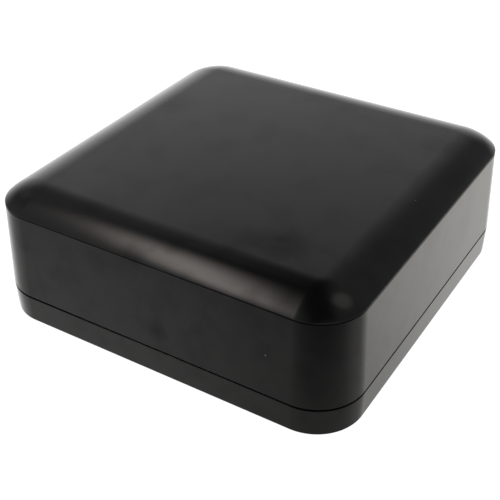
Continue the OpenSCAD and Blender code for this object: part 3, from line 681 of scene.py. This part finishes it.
def top_cover():
    """The domed cover with its rim, spigot, snap hooks and stiffening ribs."""
    rim_turn = math.degrees(math.atan2(CREASE_Z + RIM_H - BORDER_Z, BORDER_W))
    outer = arc((BORDER_X, BORDER_Z), BORDER_R, 90, rim_turn, 40)[:-1]
    rim = rounded([(*outer[-1], 0), (CORNER_R, CREASE_Z + RIM_H, EDGE_R),
                   (CORNER_R, CREASE_Z, CREASE_EDGE_R), (SPIGOT_OUT, CREASE_Z, 0)])[1:]
    inner_r = BORDER_R - WALL_T
    spigot_in = SPIGOT_OUT - SPIGOT_T
    reach = spigot_in - BORDER_X
    turn = math.degrees(math.acos(reach / inner_r))
    inner = arc((BORDER_X, BORDER_Z), inner_r, turn, 90, 12)
    profile = [(BORDER_X - 1, TOP_Z)] + outer + rim
    profile += [(SPIGOT_OUT, CREASE_Z - SPIGOT_H), (spigot_in, CREASE_Z - SPIGOT_H)]
    profile += inner + [(BORDER_X - 1, BORDER_Z + inner_r)]
    piece = lofted("top_cover_shell", [case_ring(out, z) for out, z in profile])
    spigot = CORNER_AT + SPIGOT_OUT
    hook = [(spigot - SPIGOT_T + 0.2, CREASE_Z - 1), (spigot - SPIGOT_T + 0.2, HOOK_Z), (spigot, HOOK_Z),
            (spigot + HOOK_OUT, HOOK_Z + HOOK_OUT), (spigot + HOOK_OUT, HOOK_Z + 1.5), (spigot, HOOK_Z + 1.5),
            (spigot, CREASE_Z - SPIGOT_H + 1), (spigot - 0.2, CREASE_Z - 1)]
    hooks = []
    for s in (-1, 1):
        ends = (s * HOOK_AT - HOOK_W / 2, s * HOOK_AT + HOOK_W / 2)
        hooks += quarter_turns([[(x, y, z) for x, z in hook] for y in ends])
    join(piece, *hooks)
    under = TOP_Z - WALL_T
    for s in (-1, 1):
        for along in ((CORNER_AT, 0), (0, CORNER_AT)):
            half = [a or RIB_HALF for a in along]
            shift = [0 if a else s * HOOK_AT / 2 for a in along]
            join(piece, box_rings((shift[0] - half[0], shift[0] + half[0]),
                                  (shift[1] - half[1], shift[1] + half[1]), (under - RIB_H, under + 0.5)))
    finish_piece(piece, "case_plastic", "case", "top_cover")


def wall_y(z):
    """Distance of the rear wall's outer face from the middle, at a height."""
    return CASE_HALF - WALL_FLARE * (z - SHELL_Z) / (CREASE_Z - SHELL_Z)


def well_cutter():
    """The recess for the ports, with a rounded mouth that follows the lean of the wall."""
    rings = []
    for offset, depth in flare_steps(WELL_EDGE_R, WELL_CUT):
        outline = rounded_rect(WELL_SIZE[0] + 2 * offset, WELL_SIZE[1] + 2 * offset, WELL_R + offset)
        rings.append([(x, wall_y(WELL_Z + z) - depth, WELL_Z + z) for x, z in outline])
    return rings


def side_shell():
    """The four walls, with the port recess, hook pockets, corner bosses and panel rails."""
    top = CREASE_Z - CREASE_PLAY
    groove = CREASE_Z - LINE_H
    profile = rounded([(SEAM_R, SHELL_Z, EDGE_R), (CORNER_R, groove, CREASE_EDGE_R),
                       (CORNER_R - LINE_D, groove, 0), (CORNER_R - LINE_D, top, 0),
                       (CORNER_R - WALL_T, top, 0), (SEAM_R - WALL_T, SHELL_Z, 0)])
    piece = lofted("side_shell_walls", [case_ring(out, z) for out, z in profile], closed=True)
    posts = at_corners(POST_AT, POST_AT)
    join(piece, *[[disc(at, BOSS_R, POST_TOP), disc(at, BOSS_R, CARRIER_Z)] for at in posts])
    ribs = []
    for x, y in at_corners(1, 1):
        start = POST_AT * math.sqrt(2) + 2.5
        end = CORNER_AT * math.sqrt(2) + CORNER_R - WALL_T / 2
        along = Vector((x, y)) / math.sqrt(2)
        across = Vector((-along.y, along.x)) * RIB_HALF
        outline = [along * start - across, along * end - across, along * end + across, along * start + across]
        ribs.append([[(p.x, p.y, z) for p in outline] for z in (BASE_TOP + TONGUE_H + 0.3, CARRIER_Z - 1)])
    join(piece, *ribs)
    side = PANEL_HIGH.x + PANEL_PLAY
    back = PANEL_IN - RAIL_BACK
    wall_in = CASE_HALF - WALL_FLARE - WALL_T / 2
    heights = (PANEL_LOW.z, PANEL_HIGH.z)
    for s in (-1, 1):
        rail, lip = (side, side + RAIL_W), (side - RAIL_LIP, side + 0.1)
        join(piece, box_rings(sorted(s * x for x in rail), (back, wall_in), heights))
        join(piece, box_rings(sorted(s * x for x in lip), (back, PANEL_IN - PANEL_PLAY), heights))
    cut(piece, *[[disc(at, BOSS_BORE_R, POST_TOP - 1), disc(at, BOSS_BORE_R, CARRIER_Z + 1)] for at in posts])
    cut(piece, well_cutter())
    pockets = []
    outer = CORNER_AT + SPIGOT_OUT
    for s in (-1, 1):
        pockets += quarter_turns(box_rings((outer - 1, outer + 1.1),
                                           (s * HOOK_AT - HOOK_W / 2 - 1, s * HOOK_AT + HOOK_W / 2 + 1),
                                           (HOOK_Z - 0.15, HOOK_Z + 2)))
    cut(piece, *pockets)
    finish_piece(piece, "case_plastic", "case", "side_shell")


def base_pan():
    """The floor of the case, with vents, foot and label recesses, posts and standoffs."""
    tongue_in = TONGUE_OUT - TONGUE_T
    tongue_top = BASE_TOP + TONGUE_H
    step = 1.2
    profile = rounded([(BASE_IN, BASE_Z, 0), (SEAM_R - BASE_TAPER, BASE_Z, BASE_EDGE_R),
                       (SEAM_R, BASE_TOP, GAP_EDGE_R), (TONGUE_OUT, BASE_TOP, 0),
                       (TONGUE_OUT, tongue_top, 0), (tongue_in, tongue_top, 0),
                       (tongue_in, BASE_TOP - step / 2, 0), (tongue_in + step, BASE_TOP - 1.5 * step, 0),
                       (tongue_in + step, FLOOR_Z, 0), (BASE_IN, FLOOR_Z, 0)])
    piece = lofted("base_pan_shell", [case_ring(out, z) for out, z in profile])
    posts, standoffs = at_corners(POST_AT, POST_AT), at_corners(*STANDOFF_AT)
    root = BASE_Z + 0.5
    pillars = [[disc(at, POST_R, root), disc(at, POST_R, POST_TOP)] for at in posts]
    pillars += [[disc(at, STANDOFF_R, root), disc(at, STANDOFF_R, BOARD_LOW)] for at in standoffs]
    join(piece, *pillars)
    cutters = [vertical_hole(round_mouth(at, HEAD_BORE_R, 40), SCREW_SEAT - BASE_Z, 0.25) for at in posts]
    cutters += [vertical_hole(round_mouth(at, FOOT_R + 0.2, 64), 0.8, 0.15)
                for at in at_corners(FOOT_AT, FOOT_AT)]
    cutters.append(vertical_hole(square_mouth((0, 0), LABEL_WELL, LABEL_R + 0.3), 0.3, 0.1))
    for i in range(VENT_COUNT):
        for y in VENT_ROWS:
            middle = ((i - VENT_COUNT // 2) * VENT_PITCH, y)
            cutters.append(vertical_hole(square_mouth(middle, VENT_SIZE, VENT_R, 5), 3, 0.3))
    cut(piece, *cutters)
    bores = [[disc(at, POST_BORE_R, BASE_Z + 1), disc(at, POST_BORE_R, POST_TOP + 1)] for at in posts]
    bores += [[disc(at, STANDOFF_BORE_R, BOARD_LOW - 8), disc(at, STANDOFF_BORE_R, BOARD_LOW + 1)]
              for at in standoffs]
    cut(piece, *bores)
    half = PANEL_HIGH.x + 2.5
    cut(piece, box_rings((-half, half), (60, CASE_HALF + 5), (PANEL_LOW.z - PANEL_PLAY, 16)))
    finish_piece(piece, "case_plastic", "case", "base_pan")


# ---------- Rear ports ----------

def port_panel():
    """The plate behind the port recess; each hole has a softly rounded mouth."""
    piece = lofted("port_panel_plate", facing_block(
        (PANEL_LOW.x, PANEL_HIGH.x), (PANEL_IN, PANEL_Y), (PANEL_LOW.z, PANEL_HIGH.z), 0.3, 0.2))
    depth = PANEL_Y - PANEL_IN + 1
    holes = []
    for x in JACK_X.values():
        wide = (x - JACK_SIZE[0] / 2 - PANEL_PLAY, x + JACK_SIZE[0] / 2 + PANEL_PLAY)
        high = (BOARD_Z - PANEL_PLAY, BOARD_Z + JACK_SIZE[2] + PANEL_PLAY)
        holes.append(facing_hole(block_mouth(wide, high, 0.3), PANEL_Y, depth, 0.25))
    for x, radius, flare in ((POWER_X, NOSE_R + 0.2, 0.3), (PAIR_X, PAIR_R + 0.25, 0.3),
                             (RESET_X, 0.8, 0.35), (LIGHT_X, 1.15, 0.2)):
        holes.append(facing_hole(round_mouth((x, PORT_Z), radius), PANEL_Y, depth, flare))
    cut(piece, *holes)
    finish_piece(piece, "panel_plastic", "case", "port_panel")


def jack_shield(side, x):
    """A folded tin box with rounded folds and the plug's mouth cut in its front."""
    half = JACK_SIZE[0] / 2
    back = JACK_FRONT - JACK_SIZE[1]
    top = BOARD_Z + JACK_SIZE[2]
    piece = lofted(side + "_jack_tin", facing_block(
        (x - half, x + half), (back, JACK_FRONT), (BOARD_Z, top), 0.5, 0.3))
    inside = block_outline((x - half + JACK_WALL, x + half - JACK_WALL), (BOARD_Z - 1, top - JACK_WALL), 0.3)
    cut(piece, [upright(inside, y) for y in (back + JACK_WALL, JACK_FRONT - JACK_WALL)])
    cut(piece, facing_hole(lambda offset: bay_outline(x, 0.2 + offset), JACK_FRONT, 1, 0.15))
    finish_piece(piece, "tin_plate", "case", side + "_jack_shield")


def contact_xs(x):
    """Where the contacts of a network jack lie."""
    return [x + (i - (CONTACTS - 1) / 2) * CONTACT_PITCH for i in range(CONTACTS)]


def jack_body(side, x):
    """The moulded inside of a network jack, with a lead-in and a groove for each contact."""
    half = JACK_SIZE[0] / 2 - JACK_WALL - JACK_PLAY
    front = JACK_FRONT - JACK_WALL - JACK_PLAY
    back = JACK_FRONT - JACK_SIZE[1] + JACK_WALL + JACK_PLAY
    top = BOARD_Z + JACK_SIZE[2] - JACK_WALL - JACK_PLAY
    piece = lofted(side + "_jack_moulding", facing_block(
        (x - half, x + half), (back, front), (BOARD_Z, top), 0.3))
    cut(piece, facing_hole(lambda offset: bay_outline(x, offset), front, BAY_DEPTH - JACK_WALL, 0.18))
    cut(piece, *[box_rings((middle - 0.3, middle + 0.3), (JACK_FRONT - 12.2, JACK_FRONT - 2.2),
                           (BAY_TOP - 0.3, BAY_TOP + 0.8)) for middle in contact_xs(x)])
    finish_piece(piece, "jack_resin", "case", side + "_jack_body")


def jack_contacts(side, x):
    """Spring wires that leave the roof, slant down to the back and end in a small curl."""
    bend_y, bend_z = JACK_FRONT - 3.05, BAY_TOP - 0.3
    path = [(JACK_FRONT - 2.9, BAY_TOP + 0.35), (JACK_FRONT - 2.75, BAY_TOP + 0.12),
            (JACK_FRONT - 2.8, BAY_TOP - 0.12), (bend_y, bend_z)]
    for i in range(1, 7):
        along = CONTACT_RUN * i / 6
        path.append((bend_y - along * math.cos(CONTACT_TILT), bend_z - along * math.sin(CONTACT_TILT)))
    y, z = path[-1]
    path += [(y - 0.3, z + 0.02), (y - 0.5, z + 0.2)]
    form = bmesh.new()
    for middle in contact_xs(x):
        rings = []
        for k, (y, z) in enumerate(path):
            before, after = path[max(k - 1, 0)], path[min(k + 1, len(path) - 1)]
            along = Vector((after[0] - before[0], after[1] - before[1])).normalized()
            up = Vector((-along.y, along.x))
            rings.append([(middle + CONTACT_R * math.cos(t), y + up.x * CONTACT_R * math.sin(t),
                           z + up.y * CONTACT_R * math.sin(t)) for t in (math.pi * j / 4 for j in range(8))])
        loft(form, rings)
    piece = make_piece(side + "_jack_wires", form)
    finish_piece(piece, "gold_plate", "case", side + "_jack_contacts")


def power_jack():
    """The power inlet: a block with a round nose, a flared socket and a bullet-nosed pin."""
    at = (POWER_X, PORT_Z)
    housing = lofted("power_jack_block", facing_block(
        (POWER_X - POWER_HALF, POWER_X + POWER_HALF), (POWER_REAR, PANEL_IN - PANEL_PLAY),
        (BOARD_Z, PORT_Z + POWER_HALF), 0.3, 0.2))
    join(housing, turned(at, [(NOSE_R, PANEL_IN - 1)] + soft_end(NOSE_R, JACK_FRONT, 0.3)))
    cut(housing, facing_hole(round_mouth(at, SOCKET_R), JACK_FRONT, SOCKET_DEPTH, 0.3))
    cut(housing, turned(at, [(1.4, POWER_REAR - 1), (1.4, PANEL_Y)]))
    finish_piece(housing, "jack_resin", "case", "power_jack_housing")
    pin_r, nose_h = 1.0, 1.1
    tip = JACK_FRONT - 0.8
    root = JACK_FRONT - SOCKET_DEPTH
    nose = [(pin_r * math.sqrt(max(1 - (i / 8) ** 2, 0.0004)), tip - nose_h + nose_h * i / 8)
            for i in range(9)]
    stem = [(1.38, POWER_REAR - 0.6), (1.38, root - 0.02), (pin_r, root)]
    pin = lofted("power_jack_contact", turned(at, stem + nose))
    finish_piece(pin, "zinc_steel", "case", "power_jack_pin")


def pair_button():
    """The pairing button: a shallow dished cap on a flange and a stem."""
    front = PANEL_Y + 0.6
    flange_r = PAIR_R + 0.9
    dish_r, dish_depth = 2.2, 0.22
    stem = [(1.5, 61.5), (1.5, PANEL_IN - 1.05), (flange_r, PANEL_IN - 1.05), (flange_r, PANEL_IN - 0.05),
            (PAIR_R, PANEL_IN - 0.05)]
    dish = [(radius, front - dish_depth * (1 - (radius / dish_r) ** 2))
            for radius in (dish_r, 1.8, 1.4, 1.0, 0.6, 0.2)]
    profile = stem + soft_end(PAIR_R, front, 0.35) + dish
    piece = lofted("pair_button_cap", turned((PAIR_X, PORT_Z), profile, 64))
    finish_piece(piece, "panel_plastic", "pair_button", "pair_button")


def status_light_pipe():
    """A clear elbow with a domed end in the panel."""
    piece = lofted("status_light_elbow", facing_block(
        (LIGHT_X - 1.1, LIGHT_X + 1.1), (56.9, 59.1), (BOARD_Z + 1.2, PORT_Z + 1), 0.2, 0.2))
    end = PANEL_Y + 0.2
    dome_h = 0.45
    dome = [(LIGHT_R * math.cos(t), end - dome_h + dome_h * math.sin(t))
            for t in (math.radians(11 * i) for i in range(9))]
    join(piece, turned((LIGHT_X, PORT_Z), [(LIGHT_R, 58.0)] + dome, 32))
    finish_piece(piece, "light_resin", "case", "status_light_pipe")


# ---------- Underside ----------

def rubber_feet():
    """Round feet with a soft edge, a rim and a moulded ring in a shallow dish."""
    top = node_box("rubber_feet")[1].z
    edge, dish = 0.6, 0.16
    soft = [(FOOT_R - edge * (1 - math.sin(t)), edge * (1 - math.cos(t))) for t in reversed(QUARTER)]
    rings = [(4.9, 0.0), (4.7, dish / 2), (4.5, dish), (3.5, dish), (3.35, 0.06), (3.1, 0.06), (2.95, dish),
             (0.3, dish)]
    profile = [(FOOT_R, top)] + soft + rings
    form = bmesh.new()
    for at in at_corners(FOOT_AT, FOOT_AT):
        loft(form, lathe(at, profile))
    piece = make_piece("rubber_foot_discs", form)
    finish_piece(piece, "foot_rubber", "case", "rubber_feet")


def label_plate():
    """A blank film with a softened edge."""
    low, high = node_box("label_plate")
    edge = 0.06
    rings = []
    for inset, z in ((0, high.z), (0, low.z + edge), (edge / 3, low.z + edge / 3), (edge, low.z)):
        outline = rounded_rect(2 * high.x - 2 * inset, 2 * high.y - 2 * inset, LABEL_R - inset, 10)
        rings.append([(x, y, z) for x, y in outline])
    piece = lofted("label_plate_film", rings)
    finish_piece(piece, "label_film", "case", "label_plate")


def case_screws():
    """Four long screws whose cross-recessed heads show in the bores of the base."""
    head_r, thread_r = 2.8, 1.45
    low = SCREW_SEAT - 2.0
    soft = [(head_r - 0.7 + 0.7 * math.sin(t), low + 0.55 * (1 - math.cos(t))) for t in QUARTER]
    profile = [(0.4, low)] + soft
    profile += [(head_r, SCREW_SEAT), (thread_r, SCREW_SEAT), (thread_r, SCREW_SEAT + 13.3),
                (0.9, SCREW_SEAT + 14)]
    posts = at_corners(POST_AT, POST_AT)
    form = bmesh.new()
    for at in posts:
        loft(form, lathe(at, profile, 44))
    piece = make_piece("case_screw_set", form)
    arm, half = 1.5, 0.42
    cross = [(arm, -half), (arm, half), (half, half), (half, arm), (-half, arm), (-half, half),
             (-arm, half), (-arm, -half), (-half, -half), (-half, -arm), (half, -arm), (half, -half)]
    cut(piece, *[[[(x + px * k, y + py * k, z) for px, py in cross]
                  for k, z in ((1.25, low - 0.5), (1.0, low + 0.1), (0.7, low + 1.2))] for x, y in posts])
    finish_piece(piece, "zinc_steel", "case", "case_screws")


top_cover()
side_shell()
base_pan()
port_panel()
for jack_name, jack_at in JACK_X.items():
    jack_shield(jack_name, jack_at)
    jack_body(jack_name, jack_at)
    jack_contacts(jack_name, jack_at)
power_jack()
pair_button()
status_light_pipe()
rubber_feet()
label_plate()
case_screws()

# The pieces that the frame keeps as they were packed take the same finishes.
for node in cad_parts.values():
    for i, material in enumerate(node.data.materials):
        node.data.materials[i] = FINISHES[slot_of(material)]


# ---------- Stage, lights and camera ----------

def direction(azimuth, elevation):
    """Unit vector towards a place seen from the object; azimuth 0 is the front, 90 the right side."""
    a, e = math.radians(azimuth), math.radians(elevation)
    return Vector((math.sin(a) * math.cos(e), -math.cos(a) * math.cos(e), math.sin(e)))


# Soft round lights of the studio: azimuth and elevation of the middle, radius of the even part and
# width of its soft edge, in degrees, then colour times strength.
SOFT_LIGHTS = [
    (-149.8, 10.4, 0.6, 40.6, (0.53, 0.53, 0.53)),
    (152.1, -12.1, 0.5, 34.3, (0.83, 0.82, 0.76)),
    (-135.5, -28.7, 1.6, 65.1, (0.96, 0.96, 0.96)),
    (133.3, 12.9, 48.6, 22.3, (0.17, 0.17, 0.17)),
    (-53.7, -38.0, 0.5, 21.1, (0.24, 0.23, 0.23)),
    (-147.3, -78.9, 57.4, 10.6, (0.27, 0.26, 0.25)),
    (-117.6, 39.0, 11.3, 12.2, (0.22, 0.22, 0.23)),
    (-44.2, 16.0, 6.2, 57.5, (0.34, 0.35, 0.36)),
    (140.0, 59.5, 5.3, 10.9, (0.42, 0.41, 0.35)),
    (46.0, 24.0, 14.0, 26.0, (0.40, 0.40, 0.41)),
]
# The strip light overhead, as it lies on a level ceiling one unit up: where each side is half bright
# and how far it fades to either side of that.
STRIP_X = ((-0.659, 0.084), (-0.481, 0.084))
STRIP_Y = ((-0.62, 0.19), (0.015, 0.27))
STRIP_COLOUR = (4.1, 3.71, 3.48)
ROOM_LIGHT = (0.030, 0.032, 0.034)
PAPER_WHITE = 1.0
FLOOR_HALF = 20.0 / MM

# The camera, worked out from the case's edges in the photo: direction seen from the object in degrees,
# then metres, then the lens and its sensor in millimetres, and the shift as a part of the sensor's width.
CAMERA_TOWARDS = (31.151, 33.212)
CAMERA_TARGET = (0.0, 0.0, 0.0219)
CAMERA_AWAY = 0.37091
CAMERA_LENS = 71.034
CAMERA_SENSOR = 36.0
CAMERA_SHIFT = (-0.02073, -0.05556)


class World:
    """Short names for building the studio's node tree."""

    def __init__(self):
        self.world = bpy.data.worlds.new("studio")
        self.world.use_nodes = True
        self.tree = self.world.node_tree
        self.place = self.tree.nodes.new("ShaderNodeTexCoord").outputs["Generated"]

    def vector_math(self, operation, first, second):
        """A node for an operation on two sockets or vectors."""
        made = self.tree.nodes.new("ShaderNodeVectorMath")
        made.operation = operation
        for socket, value in zip(made.inputs, (first, second)):
            if hasattr(value, "node"):
                self.tree.links.new(value, socket)
            else:
                socket.default_value = value
        return made

    def math(self, operation, first, second):
        """The result of an operation on two sockets or numbers."""
        made = self.tree.nodes.new("ShaderNodeMath")
        made.operation = operation
        for socket, value in zip(made.inputs, (first, second)):
            if hasattr(value, "node"):
                self.tree.links.new(value, socket)
            else:
                socket.default_value = value
        return made.outputs["Value"]

    def soft_step(self, source, zero_at, one_at):
        """0 on one side and 1 on the other, with a smooth change between."""
        made = self.tree.nodes.new("ShaderNodeMapRange")
        made.interpolation_type = "SMOOTHSTEP"
        made.inputs["From Min"].default_value = zero_at
        made.inputs["From Max"].default_value = one_at
        self.tree.links.new(source, made.inputs["Value"])
        return made.outputs["Result"]

    def tinted(self, amount, colour):
        """A colour times an amount."""
        made = self.vector_math("SCALE", colour, (0, 0, 0))
        self.tree.links.new(amount, made.inputs["Scale"])
        return made.outputs[0]

    def round_light(self, azimuth, elevation, radius, edge, colour):
        """The light that one row of SOFT_LIGHTS describes."""
        facing = self.vector_math("DOT_PRODUCT", self.place, direction(azimuth, elevation))
        inside = self.soft_step(facing.outputs["Value"], math.cos(math.radians(radius + edge)),
                                math.cos(math.radians(radius)))
        return self.tinted(inside, colour)

    def strip_light(self):
        """The strip light overhead; the height is kept away from 0, where the division would run off."""
        parts = self.tree.nodes.new("ShaderNodeSeparateXYZ")
        self.tree.links.new(self.place, parts.inputs[0])
        height = self.math("MAXIMUM", parts.outputs["Z"], 0.1)
        inside = None
        for axis, sides in (("X", STRIP_X), ("Y", STRIP_Y)):
            along = self.math("DIVIDE", parts.outputs[axis], height)
            for (edge, fade), inward in zip(sides, (1, -1)):
                near = self.soft_step(along, edge - inward * fade, edge + inward * fade)
                inside = self.math("MULTIPLY", inside, near) if inside else near
        return self.tinted(inside, STRIP_COLOUR)


def make_world():
    """The studio that the case reflects; the camera itself sees plain white paper."""
    studio = World()
    total = studio.strip_light()
    for light in SOFT_LIGHTS:
        total = studio.vector_math("ADD", total, studio.round_light(*light)).outputs[0]
    total = studio.vector_math("ADD", total, ROOM_LIGHT).outputs[0]
    tree = studio.tree
    rays = tree.nodes.new("ShaderNodeLightPath")
    seen = tree.nodes.new("ShaderNodeMix")
    seen.data_type = "VECTOR"
    tree.links.new(rays.outputs["Is Camera Ray"], seen.inputs["Factor"])
    tree.links.new(total, typed(seen.inputs, "A", "VECTOR"))
    typed(seen.inputs, "B", "VECTOR").default_value = (PAPER_WHITE,) * 3
    tree.links.new(typed(seen.outputs, "Result", "VECTOR"), tree.nodes["Background"].inputs["Color"])
    bpy.context.scene.world = studio.world


def make_floor():
    """A backlit paper floor. The case reflects the studio through it, as on a light table."""
    form = bmesh.new()
    bmesh.ops.create_grid(form, x_segments=1, y_segments=1, size=FLOOR_HALF)
    floor = make_piece("floor", form)
    n = Nodes("floor_paper")
    fine = n.noise(900, detail=2)
    colour = n.blend(n.remap(fine, 0, 1), (0.29, 0.29, 0.29), (0.31, 0.31, 0.31))
    material = n.set(Base_Color=colour, Roughness=0.9, Specular_IOR_Level=0.0,
                     Emission_Color=(1.0, 1.0, 1.0), Emission_Strength=1.0)
    floor.data.materials.append(material)
    floor.visible_glossy = False
    floor.visible_shadow = False


def make_camera():
    """The camera of the photo."""
    data = bpy.data.cameras.new("camera")
    camera = bpy.data.objects.new("camera", data)
    bpy.context.scene.collection.objects.link(camera)
    away = direction(*CAMERA_TOWARDS)
    camera.location = Vector(CAMERA_TARGET) + away * CAMERA_AWAY
    camera.rotation_mode = "QUATERNION"
    camera.rotation_quaternion = (-away).to_track_quat("-Z", "Y")
    data.lens = CAMERA_LENS
    data.sensor_width = CAMERA_SENSOR
    data.shift_x, data.shift_y = CAMERA_SHIFT
    data.clip_start = 0.01
    data.clip_end = 100
    bpy.context.scene.camera = camera


make_floor()
make_world()
make_camera()
bpy.context.scene.view_settings.view_transform = "Standard"
